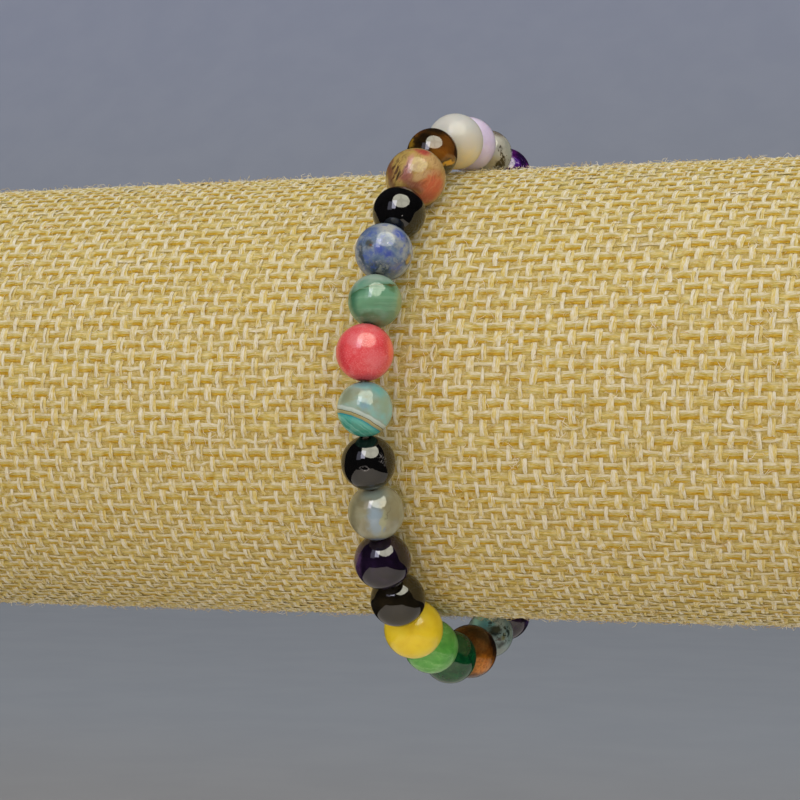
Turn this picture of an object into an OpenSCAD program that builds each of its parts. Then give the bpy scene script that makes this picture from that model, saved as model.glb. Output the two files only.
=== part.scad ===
// Stretch bracelet of round stone beads on an elastic cord, hanging on a cloth-covered display roll.
// +X runs along the roll, +Y points away from the viewer, +Z is up. The origin is in the roll's middle.

/* [Beads] */
// Nominal diameter of a bead
bead_d = 6; // [4:0.5:12]
// Bore drilled through each bead
bore_d = 1; // [0.9:0.05:1.2]
// Free space between one bead and the next
bead_gap = 0.1; // [0.1:0.05:0.4]

/* [Cord] */
// Diameter of the elastic cord
cord_d = 0.7; // [0.4:0.05:0.8]

/* [Hang] */
// How far the bracelet's inside stands off the roll, on the radius
roll_slack = 0.7; // [0.3:0.1:3]
// Free space left between the roll and the widest bead where the bracelet hangs on it
hang_gap = 0.1; // [0.1:0.05:0.25]
// Lean of the bracelet along the roll, its top to +X
ring_lean = 1.5; // [-3:0.1:3]
// Turn of the bracelet about the vertical
ring_twist = -0.7; // [-3:0.1:3]
// Angle of the first bead behind the top of the roll
first_angle = 21.8; // [0:0.1:40]

/* [Display roll] */
// Length of the roll
roll_len = 140; // [60:5:300]
// Radius of the roll's rounded rims
rim_r = 3; // [1:0.5:8]

/* [Hidden] */
// Each bead in order: down the front from the top rear to the bottom rear, then up behind the roll.
// Columns: stone, its diameter, how far it sits to the side and how far out, as shares of bead_d, and colour
BEADS = [
    ["amethyst",         0.98,  0.02, -0.02, "#4b2a8c"],
    ["dendritic_agate",  0.91, -0.02,  0.00, "#b4b2a6"],
    ["lilac_jade",       1.04, -0.07, -0.01, "#c9a9c4"],
    ["white_jade",       1.04,  0.06,  0.04, "#d3ccb4"],
    ["tiger_eye",        0.93, -0.03,  0.02, "#7a3d14"],
    ["jasper",           1.08,  0.00, -0.02, "#9c6b3f"],
    ["onyx",             0.94,  0.00, -0.04, "#141414"],
    ["sodalite",         1.01, -0.01,  0.03, "#4a5f9a"],
    ["green_agate",      0.93,  0.02,  0.03, "#4d8b6a"],
    ["red_jade",         0.99,  0.00,  0.15, "#d04050"],
    ["teal_agate",       0.95,  0.03,  0.11, "#5fa8a0"],
    ["onyx",             0.94,  0.03,  0.03, "#141414"],
    ["grey_agate",       0.98,  0.02, -0.08, "#8d9a8a"],
    ["dark_amethyst",    1.00, -0.03, -0.03, "#1e1030"],
    ["smoky_quartz",     0.98,  0.00, -0.05, "#231c18"],
    ["yellow_jade",      1.07, -0.02, -0.05, "#d9b32c"],
    ["green_jade",       1.01, -0.05, -0.07, "#3f8f35"],
    ["dark_green_jade",  1.00, -0.04,  0.02, "#0f4423"],
    ["tiger_eye",        1.02, -0.01,  0.01, "#7a3d14"],
    ["dendritic_agate",  0.91,  0.05, -0.06, "#9fb4b0"],
    ["amethyst",         0.98,  0.04,  0.02, "#4a3a5f"],
    ["white_jade",       1.03, -0.02, -0.03, "#d3ccb4"],
    ["sodalite",         0.99,  0.02,  0.02, "#4a5f9a"],
    ["onyx",             0.97,  0.01, -0.02, "#141414"],
    ["yellow_jade",      1.03, -0.03,  0.00, "#d9b32c"],
    ["red_jade",         0.99,  0.02,  0.03, "#d04050"],
    ["green_agate",      1.00, -0.01, -0.02, "#4d8b6a"],
    ["jasper",           1.06,  0.02,  0.01, "#9c6b3f"],
    ["grey_agate",       0.97, -0.02, -0.03, "#8d9a8a"],
    ["lilac_jade",       1.01,  0.02,  0.02, "#c9a9c4"],
    ["onyx",             1.00, -0.01,  0.00, "#141414"],
];
STONE = 0;
SHARE = 1;
SIDE = 2;
OUT = 3;
COLOUR = 4;
count = len(BEADS);

// Sides of the cord's tube and steps of a rim's quarter round
cord_sides = 12;
rim_steps = 8;
// Spare length of a cutting bore past the bead
overrun = 1;
// Halvings of the search for the ring's radius, and how far above its length / 2 pi it looks
search_steps = 40;
search_span = 1.3;
smooth = 96;

function wrap(i) = (i + count) % count;
function sum(v, i = 0) = i < len(v) ? v[i] + sum(v, i + 1) : 0;
function mix(a, b, t) = a + (b - a) * t;

// Size of bead i, and how far it sits to the side and out of the ring's middle line
function size(i) = BEADS[wrap(i)][SHARE] * bead_d;
function side(i) = BEADS[wrap(i)][SIDE] * bead_d;
function out(i) = BEADS[wrap(i)][OUT] * bead_d;

// Straight distance from the centre of bead i to the next one, and the turn that it takes on radius r
function pitch(i) = (size(i) + size(i + 1)) / 2 + bead_gap;
function turn_on(r, i) =
    let (a = r + out(i), b = r + out(i + 1), s = side(i + 1) - side(i))
    acos((a * a + b * b + s * s - pow(pitch(i), 2)) / (2 * a * b));

// The beads close into a ring on the radius where their turns add up to a full circle
function closed_r(low, high, steps) =
    steps == 0 ? (low + high) / 2 :
    let (mid = (low + high) / 2, turned = sum([for (i = [0:count - 1]) turn_on(mid, i)]))
    turned > 360 ? closed_r(mid, high, steps - 1) : closed_r(low, mid, steps - 1);

strung_len = sum([for (i = [0:count - 1]) pitch(i)]);
ring_r = closed_r(strung_len / (2 * PI), search_span * strung_len / (2 * PI), search_steps);
widest = max([for (i = [0:count - 1]) size(i)]);
roll_r = ring_r - widest / 2 - roll_slack;
// The bracelet hangs on the roll's top, so its centre lies below the roll's axis
hang_drop = roll_slack - hang_gap;

function turn(i) = turn_on(ring_r, wrap(i));
function angle(i) = first_angle - sum([for (k = [0:1:i - 1]) turn(k)]);
// A point of the ring's own plane, a degrees behind the top and s to the side
function on_ring(r, a, s) = [s, r * sin(a), r * cos(a)];
function centre(i) = on_ring(ring_r + out(i), angle(wrap(i)), side(i));

// The cord runs straight through each bead. It bends between bead i and the next, on the line between their
// centres, moved out far enough for its straight runs to pass near the beads' middles.
function corner(i) =
    let (w = size(i) / (size(i) + size(i + 1)))
    let (p = mix(centre(i), centre(i + 1), w), further = 1 / pow(cos(turn(i) / 2), 2))
    [p.x, p.y * further, p.z * further];

function unit(v) = v / norm(v);
// One ring of the cord's tube, square to the line between its neighbours
function tube_ring(p, along) =
    let (across = unit(cross(along, [1, 0, 0])), out = cross(along, across))
    [for (k = [0:cord_sides - 1])
        let (a = k * 360 / cord_sides)
        p + cord_d / 2 * (cos(a) * across + sin(a) * out)];

function bead_name(i) = str("bead_", i < 9 ? "0" : "", i + 1, "_", BEADS[i][STONE]);

// Puts what is drawn in the ring's own plane where the bracelet hangs
module hung() {
    translate([0, 0, -hang_drop])
        rotate([0, ring_lean, ring_twist])
            children();
}

// Turns what is drawn along +Z to run from a to b, with its middle halfway
module between(a, b) {
    v = b - a;
    translate((a + b) / 2)
        rotate([0, acos(v.z / norm(v)), atan2(v.y, v.x)])
            children();
}

// A round stone, drilled where the cord passes
module bead(i) {
    color(BEADS[i][COLOUR])
        hung()
            difference() {
                translate(centre(i))
                    sphere(d = size(i), $fn = smooth);
                between(corner(i - 1), corner(i))
                    cylinder(d = bore_d, h = size(i) + 2 * overrun, center = true, $fn = smooth);
            }
}

// The elastic cord, one closed tube through all the bores
module elastic_cord() {
    points = [for (i = [0:count - 1]) each tube_ring(corner(i), unit(corner(i + 1) - corner(i - 1)))];
    faces = [for (i = [0:count - 1], k = [0:cord_sides - 1])
        let (a = i * cord_sides, b = wrap(i + 1) * cord_sides, n = (k + 1) % cord_sides)
        [a + k, a + n, b + n, b + k]];
    color("#e8e6df")
        hung()
            polyhedron(points, faces);
}

// The display roll, a padded cylinder covered in burlap, with plain flat ends
module display_roll() {
    rim = [for (k = [0:rim_steps])
        let (a = k * 90 / rim_steps)
        [roll_r - rim_r + rim_r * cos(a), roll_len / 2 - rim_r + rim_r * sin(a)]];
    outline = concat(
        [for (p = rim) p],
        [[0, roll_len / 2], [0, -roll_len / 2]],
        [for (k = [rim_steps:-1:0]) [rim[k].x, -rim[k].y]]
    );
    color("#d3b765")
        rotate([0, 90, 0])
            rotate_extrude($fn = smooth)
                polygon(outline);
}

for (i = [0:count - 1])
    bead(i);
elastic_cord();
display_roll();
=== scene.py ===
from math import pi, radians

import bpy
import numpy as np
from mathutils import Euler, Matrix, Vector
from numpy.linalg import norm


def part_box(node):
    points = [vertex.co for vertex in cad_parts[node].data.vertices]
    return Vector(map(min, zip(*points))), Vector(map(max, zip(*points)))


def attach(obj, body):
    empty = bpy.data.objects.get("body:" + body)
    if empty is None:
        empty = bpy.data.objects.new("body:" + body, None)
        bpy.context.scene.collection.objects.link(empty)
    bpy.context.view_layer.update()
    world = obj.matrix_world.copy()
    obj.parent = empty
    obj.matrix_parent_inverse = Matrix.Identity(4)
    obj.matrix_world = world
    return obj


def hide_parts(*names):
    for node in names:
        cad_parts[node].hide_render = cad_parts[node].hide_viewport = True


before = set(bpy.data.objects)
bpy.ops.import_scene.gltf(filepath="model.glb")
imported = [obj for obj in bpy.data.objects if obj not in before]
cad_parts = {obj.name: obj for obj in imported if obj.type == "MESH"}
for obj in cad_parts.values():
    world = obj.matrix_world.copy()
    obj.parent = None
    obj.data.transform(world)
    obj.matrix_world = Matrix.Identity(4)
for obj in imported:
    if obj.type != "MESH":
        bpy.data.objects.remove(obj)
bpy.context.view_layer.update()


# The place where the bracelet is shown: a pale table that bends up behind, and a white sheet under the roll
# that throws light up at it. A round lamp hangs in front and above, a weak warm one low in front, and a
# window stands to the left. The camera looks a little along the roll, level with its axis.

camera_place = (0.09216, -0.25255, -0.00465)
camera_turn = (radians(90.845), 0, radians(21.712))
camera_lens = 103.5
camera_film = 36
camera_near, camera_far = 0.01, 20

table_drop = 0.075
table_front = -0.165
table_back = 1.35
table_half_width = 2.2
table_columns = 5
table_edge = 0.012
apron_height = 0.05
bend_radius = 0.8
bend_steps = 9
wall_height = 1.6
table_tone, far_tone, wall_tone = "#8d8d8c", "#8c939b", "#9098ac"

paper_left, paper_right = -0.083, 0.100
paper_front, paper_back = -0.147, 0.090
paper_thick = 0.0005

lamp_side = Vector((0.340, -0.541, 0.757))
lamp_distance = 0.6
lamp_step = 0.01
lamp_tint = "#fbf8e2"
lobe_offset = 0.155
fill_side = Vector((0.16, -1.0, -0.16))
fill_distance = 0.55
window_side = Vector((-0.03, -0.84, 0.54))
curtain_side = Vector((-0.30, -0.84, 0.45))
window_distance = 0.8
room_light = (0.835, 0.80, 0.785, 1)
room_in_gloss = (0.012, 0.012, 0.014, 1)
room_seen = "#7d8088"

# The sockets of a Mix node that hold colours: its two inputs and its result.
mix_from, mix_to, mix_out = 6, 7, 2


def linear(colour):
    """The scene's colour for one written as on the web: each share straightened from the screen's curve."""
    shares = [int(colour[k:k + 2], 16) / 255 for k in (1, 3, 5)]
    return [s / 12.92 if s < 0.04045 else ((s + 0.055) / 1.055) ** 2.4 for s in shares] + [1]


class Nodes:
    """A tree of nodes, built one by one. What makes a pattern or a mix gives back the socket it ends in."""

    def __init__(self, tree):
        self.tree = tree

    def add(self, kind, plugs=(), **settings):
        """One node. Plugs are pairs of an input and the number, colour or socket that goes in."""
        node = self.tree.nodes.new("ShaderNode" + kind)
        for key, value in settings.items():
            setattr(node, key, value)
        for key, value in plugs:
            self.plug(node.inputs[key], value)
        return node

    def plug(self, socket, value):
        if isinstance(value, bpy.types.NodeSocket):
            self.tree.links.new(value, socket)
        else:
            socket.default_value = linear(value) if isinstance(value, str) else value

    def mix(self, share, a, b, way="MIX"):
        """The colour a, gone over to b by the share."""
        plugs = [(0, share), (mix_from, a), (mix_to, b)]
        return self.add("Mix", plugs, data_type="RGBA", blend_type=way).outputs[mix_out]


class Pattern(Nodes):
    """A material's pattern, which reads the place on the object."""

    def __init__(self, name):
        self.material = bpy.data.materials.new(name)
        self.material.use_nodes = True
        super().__init__(self.material.node_tree)
        self.finish = self.tree.nodes["Principled BSDF"]
        self.place = self.add("TexCoord").outputs["Object"]

    def finished(self, **values):
        """Sets the finish's own sockets: coat_weight=0.2 sets Coat Weight."""
        names = {socket.name.lower().replace(" ", "_"): socket for socket in self.finish.inputs}
        for key, value in values.items():
            self.plug(names[key], value)
        return self.material

    def math(self, operation, a, b):
        return self.add("Math", [(0, a), (1, b)], operation=operation).outputs[0]

    def moved(self, at=(0, 0, 0), turn=(0, 0, 0), size=(1, 1, 1), place=None):
        """The place as seen from a spot, turned, and counted in sizes of its own."""
        plugs = [("Vector", place or self.place), ("Location", at), ("Rotation", turn), ("Scale", size)]
        return self.add("Mapping", plugs, vector_type="TEXTURE").outputs[0]

    def noise(self, scale, detail=3.0, rough=0.55, warp=0.0, place=None):
        plugs = [("Vector", place or self.place), ("Scale", scale), ("Detail", detail), ("Roughness", rough),
                 ("Distortion", warp)]
        return self.add("TexNoise", plugs).outputs[0]

    def stretch(self, value, low, high, to_low=0.0, to_high=1.0):
        """The value, from low to high, eased to run from to_low to to_high."""
        plugs = [("Value", value), ("From Min", low), ("From Max", high), ("To Min", to_low),
                 ("To Max", to_high)]
        return self.add("MapRange", plugs, interpolation_type="SMOOTHSTEP").outputs[0]

    def ramp(self, value, *stops):
        """Colours along the value, each stop a place and a colour."""
        node = self.add("ValToRGB", [(0, value)])
        line = node.color_ramp.elements
        while len(line) < len(stops):
            line.new(0.5)
        for spot, (at, colour) in zip(line, stops):
            spot.position = at
            spot.color = linear(colour)
        return node.outputs[0]

    def bump(self, height, depth):
        """Raises the surface by the height, from 0 to 1, times the depth in metres."""
        node = self.add("Bump", [("Strength", 1.0), ("Distance", depth), ("Height", height)])
        self.plug(self.finish.inputs["Normal"], node.outputs[0])


def together(*parts):
    """Arrays of shapes that fit each other, side by side as the last axis of one."""
    return np.stack(np.broadcast_arrays(*parts), -1)


def surface(name, points, quads, material, uv=None, caps=np.empty((0, 3), int)):
    """A smooth mesh from an array of points, one of four-cornered faces and one of three-cornered ones that
    cap ends. The map, if there is one, has a place for each corner of each face."""
    mesh = bpy.data.meshes.new(name)
    points = np.asarray(points, np.float32).ravel()
    mesh.vertices.add(len(points) // 3)
    mesh.vertices.foreach_set("co", points)
    mesh.loops.add(quads.size + caps.size)
    mesh.loops.foreach_set("vertex_index", np.concatenate([quads.ravel(), caps.ravel()]).astype(np.int32))
    starts = np.concatenate([np.arange(0, quads.size, 4), quads.size + np.arange(0, caps.size, 3)])
    mesh.polygons.add(len(starts))
    mesh.polygons.foreach_set("loop_start", starts.astype(np.int32))
    mesh.polygons.foreach_set("use_smooth", np.ones(len(starts), bool))
    if uv is not None:
        mesh.uv_layers.new(name="UVMap").data.foreach_set("uv", np.asarray(uv, np.float32).ravel())
    mesh.update(calc_edges=True)
    mesh.validate()
    mesh.materials.append(material)
    piece = bpy.data.objects.new(name, mesh)
    bpy.context.scene.collection.objects.link(piece)
    return piece


def grid_faces(rows, columns, round_rows=False, round_columns=False):
    """The faces between the points of a grid, joined end to end where it closes on itself."""
    row = np.arange(rows if round_rows else rows - 1)[:, None]
    column = np.arange(columns if round_columns else columns - 1)[None, :]
    next_row = (row + 1) % rows
    next_column = (column + 1) % columns
    return together(row * columns + column, row * columns + next_column,
                    next_row * columns + next_column, next_row * columns + column).reshape(-1, 4)


def table_profile():
    """Upright apron, rounded front edge, level top, quarter bend, upright wall: pairs of depth and height."""
    quarter = np.linspace(0, pi / 2, bend_steps)
    apron = [[table_front, -table_drop - apron_height]]
    edge = np.stack([table_front + table_edge * (1 - np.sin(quarter[::-1])),
                     -table_drop - table_edge * (1 - np.cos(quarter[::-1]))], -1)
    rise = np.stack([table_back - bend_radius + bend_radius * np.sin(quarter),
                     -table_drop + bend_radius * (1 - np.cos(quarter))], -1)
    wall = [[table_back, -table_drop + wall_height]]
    return np.concatenate([apron, edge, rise, wall])


paint = Pattern("pale_table")
paint_place = paint.add("SeparateXYZ", [(0, paint.place)]).outputs
paint_tone = paint.mix(paint.stretch(paint_place["Y"], 0.02, 0.30), table_tone, far_tone)
paint_tone = paint.mix(paint.stretch(paint_place["Z"], 0.0, 0.35), paint_tone, wall_tone)
paint_tone = paint.mix(paint.stretch(paint.noise(40.0, 2.0), 0.3, 0.7, 0, 0.015), paint_tone, "#ffffff")
paint.finished(base_color=paint_tone, roughness=0.85, specular_ior_level=0.1)
table_depth, table_height = table_profile().T[..., None]
table_across = np.linspace(-table_half_width, table_half_width, table_columns)[None, :]
table = surface("pale_table", together(table_across, table_depth, table_height),
                grid_faces(len(table_depth), table_columns), paint.material)
table.visible_glossy = False

white = Pattern("white_sheet")
white_fibres = white.noise(300.0, detail=3.0)
white.bump(white_fibres, 0.00002)
white.finished(base_color=white.ramp(white_fibres, (0.3, "#efe9de"), (0.7, "#f6f1e6")), roughness=0.9,
               specular_ior_level=0.1)
paper_outline = [(paper_left, paper_front), (paper_right, paper_front), (paper_right, paper_back),
                 (paper_left, paper_back)]
paper_points = np.array([[x, y, z - table_drop] for z in (0, paper_thick) for x, y in paper_outline])
paper_faces = [[0, 3, 2, 1], [4, 5, 6, 7]] + [[k, (k + 1) % 4, (k + 1) % 4 + 4, k + 4] for k in range(4)]
white_sheet = surface("white_sheet", paper_points, np.array(paper_faces), white.material)


def lamp(name, side, distance, power, colour, width, height=None, shift=(0, 0), seen_in_gloss=True,
         lights_surfaces=True):
    """A flat lamp that faces the bracelet's middle: round, or four-sided where it has a height.
    The shift slides it right and up in its own plane."""
    light = bpy.data.lights.new(name, "AREA")
    light.shape = "RECTANGLE" if height else "DISK"
    light.size = width
    if height:
        light.size_y = height
    light.energy = power
    light.color = linear(colour)[:3]
    fixture = bpy.data.objects.new(name, light)
    facing = side.to_track_quat("Z", "Y")
    fixture.location = side.normalized() * distance + facing @ Vector((*shift, 0))
    fixture.rotation_euler = facing.to_euler()
    fixture.visible_camera = False
    fixture.visible_glossy = seen_in_gloss
    fixture.visible_diffuse = lights_surfaces
    bpy.context.scene.collection.objects.link(fixture)


# The lamp and the fill light the surfaces. The beads mirror the lamp's face, its four lobes and the window.
lamp("lamp", lamp_side, lamp_distance, power=0.98, colour="#fff8ec", width=0.92, seen_in_gloss=False)
lamp("fill", fill_side, fill_distance, power=0.28, colour="#ffb458", width=0.3, seen_in_gloss=False)
lamp("lamp_face", lamp_side, lamp_distance - lamp_step, power=6.6, colour=lamp_tint, width=0.73,
     lights_surfaces=False)
for k, (aside, above) in enumerate(((1, 1), (-1, 1), (-1, -1), (1, -1))):
    lamp(f"lobe_{k + 1}", lamp_side, lamp_distance - 2 * lamp_step, power=0.14, colour=lamp_tint, width=0.26,
         shift=(aside * lobe_offset, above * lobe_offset), lights_surfaces=False)
lamp("window", window_side, window_distance, power=2.3, colour="#dcdcf0", width=0.24, height=0.50,
     lights_surfaces=False)
lamp("curtain", curtain_side, window_distance, power=0.38, colour="#dcdcf4", width=0.26, height=0.46,
     lights_surfaces=False)

world = bpy.data.worlds.new("room")
world.use_nodes = True
bpy.context.scene.world = world
room = Nodes(world.node_tree)
ray = room.add("LightPath").outputs
room_tint = room.mix(ray["Is Glossy Ray"], room_light, room_in_gloss)
room_tint = room.mix(ray["Is Camera Ray"], room_tint, room_seen)
room.plug(room.tree.nodes["Background"].inputs["Color"], room_tint)

camera = bpy.data.objects.new("camera", bpy.data.cameras.new("camera"))
camera.location = camera_place
camera.rotation_euler = camera_turn
camera.data.lens = camera_lens
camera.data.sensor_width = camera_film
camera.data.clip_start = camera_near
camera.data.clip_end = camera_far
bpy.context.scene.collection.objects.link(camera)
bpy.context.scene.camera = camera
bpy.context.scene.view_settings.view_transform = "Standard"


# The display roll is a padded cylinder in a sleeve of burlap, woven plain from flat split fibres: broad yarns
# lie along the roll, and narrow pale ones, spaced apart, run round it and stand a little proud. The sleeve is
# drawn over the rims and folded in, and a round of the same cloth is glued over each end.

roll_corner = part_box("display_roll")[1]
roll_radius = roll_corner.z
roll_half = roll_corner.x
rim_radius = 0.003
hoop_pitch = 0.00139
hoop_rise = 0.00012
hoop_lean = 0.00003
long_count = 120
long_rise = 0.00004
ply_thick = 0.00013
ply_lap = 1.3
under_weave = 0.00006
fold_in = 0.004
tucked_in = 0.0007
sleeve_rows = 61
sleeve_columns = 96
end_cloth = 0.0003
weave_top = hoop_rise + ply_thick / 2
sheet_radius = roll_radius - weave_top
sheet_half = roll_half - weave_top - end_cloth
bend = rim_radius - weave_top
straight = sheet_half - bend
arc = bend * pi / 2
reach = straight + arc + fold_in
draw = np.random.default_rng(7)

# A hoop takes four steps a wave, none of them at its top. The wave is made higher by this share, so that its
# tops come out flat at the full rise.
steps_per_wave = 4
flat_top = 2 ** 0.5

# A fibre's section, in half widths and half thicknesses, and how far round it each corner lies, up to the
# first one again.
ridge = np.array([[-1.0, -0.3], [0.0, 1.0], [1.0, -0.3]])
ridge_way = np.array([0, 1.0, 2.0, 4.0])
millimetres = 1000
map_width = 10.0


def sleeve(along):
    """Place along the roll, radius and outward direction at an arc length from the middle: the length runs
    straight, then round a quarter circle, then inward over the end."""
    away = np.abs(along)
    side = np.sign(along)
    angle = np.clip((away - straight) / bend, 0, pi / 2)
    inward = np.maximum(away - straight - arc, 0)
    x = side * (np.minimum(away, straight) + bend * np.sin(angle))
    radius = sheet_radius - bend + bend * np.cos(angle) - inward
    return x, radius, side * np.sin(angle), np.cos(angle)


def on_sleeve(along, angle, lift=0.0):
    """Points and outward directions of the sleeve at arc lengths and angles, lifted off it."""
    x, radius, out_x, out_r = sleeve(along)
    outward = together(out_x, out_r * np.sin(angle), out_r * np.cos(angle))
    middle = together(x, radius * np.sin(angle), radius * np.cos(angle))
    return middle + np.asarray(lift)[..., None] * outward, outward


def drift(shape, waves, size, speeds=9):
    """Smooth random curves, one a row: sine waves of random phase and height, from two to so many in a row,
    added up to about the given size."""
    rows, columns = shape
    t = np.linspace(0, 2 * pi, columns, endpoint=False)[None, :]
    total = np.zeros(shape)
    for count in np.unique(np.geomspace(2, waves, speeds).astype(int)):
        total += np.sin(count * t + draw.uniform(0, 2 * pi, (rows, 1))) * draw.normal(0, 1, (rows, 1))
    return total / speeds ** 0.5 * size


def swapping(shape, waves, lean):
    """How a yarn's plies lie side by side as it twists: 1 in their own order, and -1 the other way round."""
    return np.clip(drift(shape, waves, 1.0) + lean, -1, 1)


def lapped(layer, swap):
    """How far a ply stands out of its yarn: a share of its thickness, more where the plies change sides."""
    return layer * ply_thick / 4 * (ply_lap - np.abs(swap))


def uneven(width, shape, waves, share, most):
    """Half the width of a ply, wavering by about a share of it and never by more than the most."""
    return width / 2 * (1 + drift(shape, waves, share).clip(-most, most))


def plies(name, middle, outward, half_width, material, closed=False, half_thick=ply_thick / 2):
    """Flat split fibres along paths: the ridge is carried along each path, square to it and to the way out,
    and capped where the path ends. The map runs across and along in millimetres, ten of them a fibre."""
    count, steps = middle.shape[:2]
    if closed:
        forward = np.roll(middle, -1, 1) - np.roll(middle, 1, 1)
    else:
        forward = np.gradient(middle, axis=1)
    forward /= norm(forward, axis=-1, keepdims=True)
    across = np.cross(forward, outward)
    across /= norm(across, axis=-1, keepdims=True)
    out = np.cross(across, forward)
    corners = len(ridge)
    points = (middle[:, :, None] + across[:, :, None] * ridge[:, 0, None] * half_width[:, :, None, None]
              + out[:, :, None] * ridge[:, 1, None] * half_thick)
    first = np.arange(count)[:, None, None] * steps * corners
    quads = (grid_faces(steps, corners, round_rows=closed, round_columns=True)[None] + first).reshape(-1, 4)
    pace = norm(np.diff(middle, axis=1), axis=-1).mean() * millimetres
    v = np.arange(steps if closed else steps - 1)[:, None, None] * pace + np.array([0, 0, pace, pace])
    spread = ridge_way * half_width.mean() * millimetres
    u = np.stack([spread[:-1], spread[1:], spread[1:], spread[:-1]], -1)[None]
    own_map = np.stack([np.arange(count) * map_width, np.zeros(count)], -1)
    uv = (together(u, v)[None] + own_map[:, None, None, None]).reshape(-1, 2)
    caps = np.empty((0, 3), int)
    if not closed:
        near_end = first[:, 0] + np.array([0, 2, 1])
        far_end = first[:, 0] + (steps - 1) * corners + np.array([0, 1, 2])
        caps = np.concatenate([near_end, far_end])
        uv = np.concatenate([uv, np.zeros((caps.size, 2))])
    return crisp_edges(surface(name, points, quads, material, uv, caps), corners)


def crisp_edges(piece, corners):
    """Keeps a fibre's two long lower edges sharp, so that its top shades as flat as it is."""
    ends = np.empty(len(piece.data.edges) * 2, np.int32)
    piece.data.edges.foreach_get("vertices", ends)
    corner = ends.reshape(-1, 2) % corners
    lengthways = (corner[:, 0] == corner[:, 1]) & (corner[:, 0] != corners // 2)
    piece.data.attributes.new("sharp_edge", "BOOLEAN", "EDGE").data.foreach_set("value", lengthways)
    return piece


def burlap(name, tones, other_tones, bleached):
    """Split plant fibre: streaks from noise drawn out along the ply, in straw tones that wander off to others
    here and there, with some fibres bleached nearly white. Sizes are in millimetres, across and along."""
    p = Pattern(name)
    map_place = p.add("UVMap").outputs[0]
    fibre = p.noise(1.0, detail=4.0, rough=0.7, place=p.moved(size=(0.13, 0.95, 1), place=map_place))
    fine = p.noise(1.0, detail=3.0, place=p.moved(size=(0.07, 0.8, 1), place=map_place))
    slow = p.noise(1.0, detail=2.0, place=p.moved(size=(7.0, 2.2, 1), place=map_place))
    colour = p.mix(p.stretch(slow, 0.47, 0.62), p.ramp(fibre, *tones), p.ramp(fibre, *other_tones))
    colour = p.mix(p.stretch(fine, 0.46, 0.68, 0, bleached), colour, "#eeebde")
    p.bump(p.math("ADD", fibre, p.math("MULTIPLY", fine, 0.5)), 0.00007)
    return p.finished(base_color=colour, roughness=0.8, specular_ior_level=0.06)


straw = [(0.33, "#a48b2c"), (0.44, "#b9a44a"), (0.55, "#c3b772"), (0.68, "#d3cfa8")]
gold_straw = [(0.33, "#936f08"), (0.44, "#b08a16"), (0.55, "#c2a02c"), (0.68, "#d0b858")]
cream_straw = [(0.32, "#bfaa61"), (0.42, "#d1c899"), (0.52, "#ddd9c0"), (0.66, "#eceadb")]
yellow_straw = [(0.32, "#b99a30"), (0.42, "#cbb450"), (0.54, "#d8ca86"), (0.68, "#e2dcba")]
white_straw = [(0.33, "#bfae6c"), (0.44, "#d0c594"), (0.55, "#dcd7b8"), (0.68, "#e9e6d4")]
cream_ply = burlap("cream_ply", cream_straw, yellow_straw, bleached=0.5)
yellow_ply = burlap("yellow_ply", yellow_straw, cream_straw, bleached=0.4)
straw_ply = burlap("straw_ply", straw, yellow_straw, bleached=0.25)
gold_ply = burlap("gold_ply", gold_straw, straw, bleached=0.1)
white_ply = burlap("white_ply", white_straw, straw, bleached=0.4)
# For each ply of a yarn: its name, finish, width, place across the yarn, and layer, outermost highest.
hoop_plies = (("cream", cream_ply, 0.00042, -0.00020, 1), ("yellow", yellow_ply, 0.00040, 0.00022, -1))
# On the front of the roll the white ply runs along each broad yarn's upper edge and the gold ply along its
# lower edge. This is partly the yarn's own plies, and partly a painted highlight on the upper edge and
# painted shade on the lower.
long_plies = (("white", white_ply, 0.00038, 0.00029, 1), ("straw", straw_ply, 0.00050, 0.00000, 0),
              ("gold", gold_ply, 0.00042, -0.00030, -1))

hoop_count = int(2 * (straight + arc + tucked_in) / hoop_pitch)
hoop_at = (np.arange(hoop_count) - (hoop_count - 1) / 2) * hoop_pitch
hoop_steps = long_count // 2 * steps_per_wave
round_angle = (np.arange(hoop_steps)[None, :] + 0.5) * 2 * pi / hoop_steps
hoop_phase = round_angle * long_count / 2 + pi * np.arange(hoop_count)[:, None]
hoop_wobble = drift(hoop_phase.shape, waves=60, size=0.00008) + hoop_lean * np.sin(hoop_phase)
hoop_lift = hoop_rise * flat_top * np.cos(hoop_phase) + drift(hoop_phase.shape, waves=70, size=0.00002)
hoop_swap = swapping(hoop_phase.shape, waves=60, lean=0.6)
cloth = []
for kind, material, width, shift, layer in hoop_plies:
    wobble = hoop_wobble + shift * hoop_swap + drift(hoop_phase.shape, waves=120, size=0.00002)
    middle, outward = on_sleeve(hoop_at[:, None] + wobble, round_angle, hoop_lift + lapped(layer, hoop_swap))
    half_width = uneven(width, hoop_phase.shape, waves=140, share=0.25, most=0.5)
    cloth.append(plies("hoop_yarns_" + kind, middle, outward, half_width, material, closed=True))

long_pitch = 2 * pi * sheet_radius / long_count
long_angle = np.arange(long_count)[:, None] * 2 * pi / long_count
long_phase = pi * (np.arange(hoop_count)[None, :] + np.arange(long_count)[:, None])
long_wobble = drift(long_phase.shape, waves=40, size=0.00008)
long_lift = -long_rise * np.cos(long_phase) + drift(long_phase.shape, waves=40, size=0.00002)
long_swap = swapping(long_phase.shape, waves=30, lean=1.0)
narrower = sleeve(hoop_at[None, :])[1] / sheet_radius
for kind, material, width, shift, layer in long_plies:
    wobble = long_wobble + shift * long_swap * narrower + drift(long_phase.shape, waves=50, size=0.00004)
    middle, outward = on_sleeve(hoop_at[None, :], long_angle + wobble / sheet_radius,
                                long_lift + lapped(layer, long_swap))
    half_width = uneven(width, long_phase.shape, waves=50, share=0.16, most=0.4) * narrower
    cloth.append(plies("long_yarns_" + kind, middle, outward, half_width, material))

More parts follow.
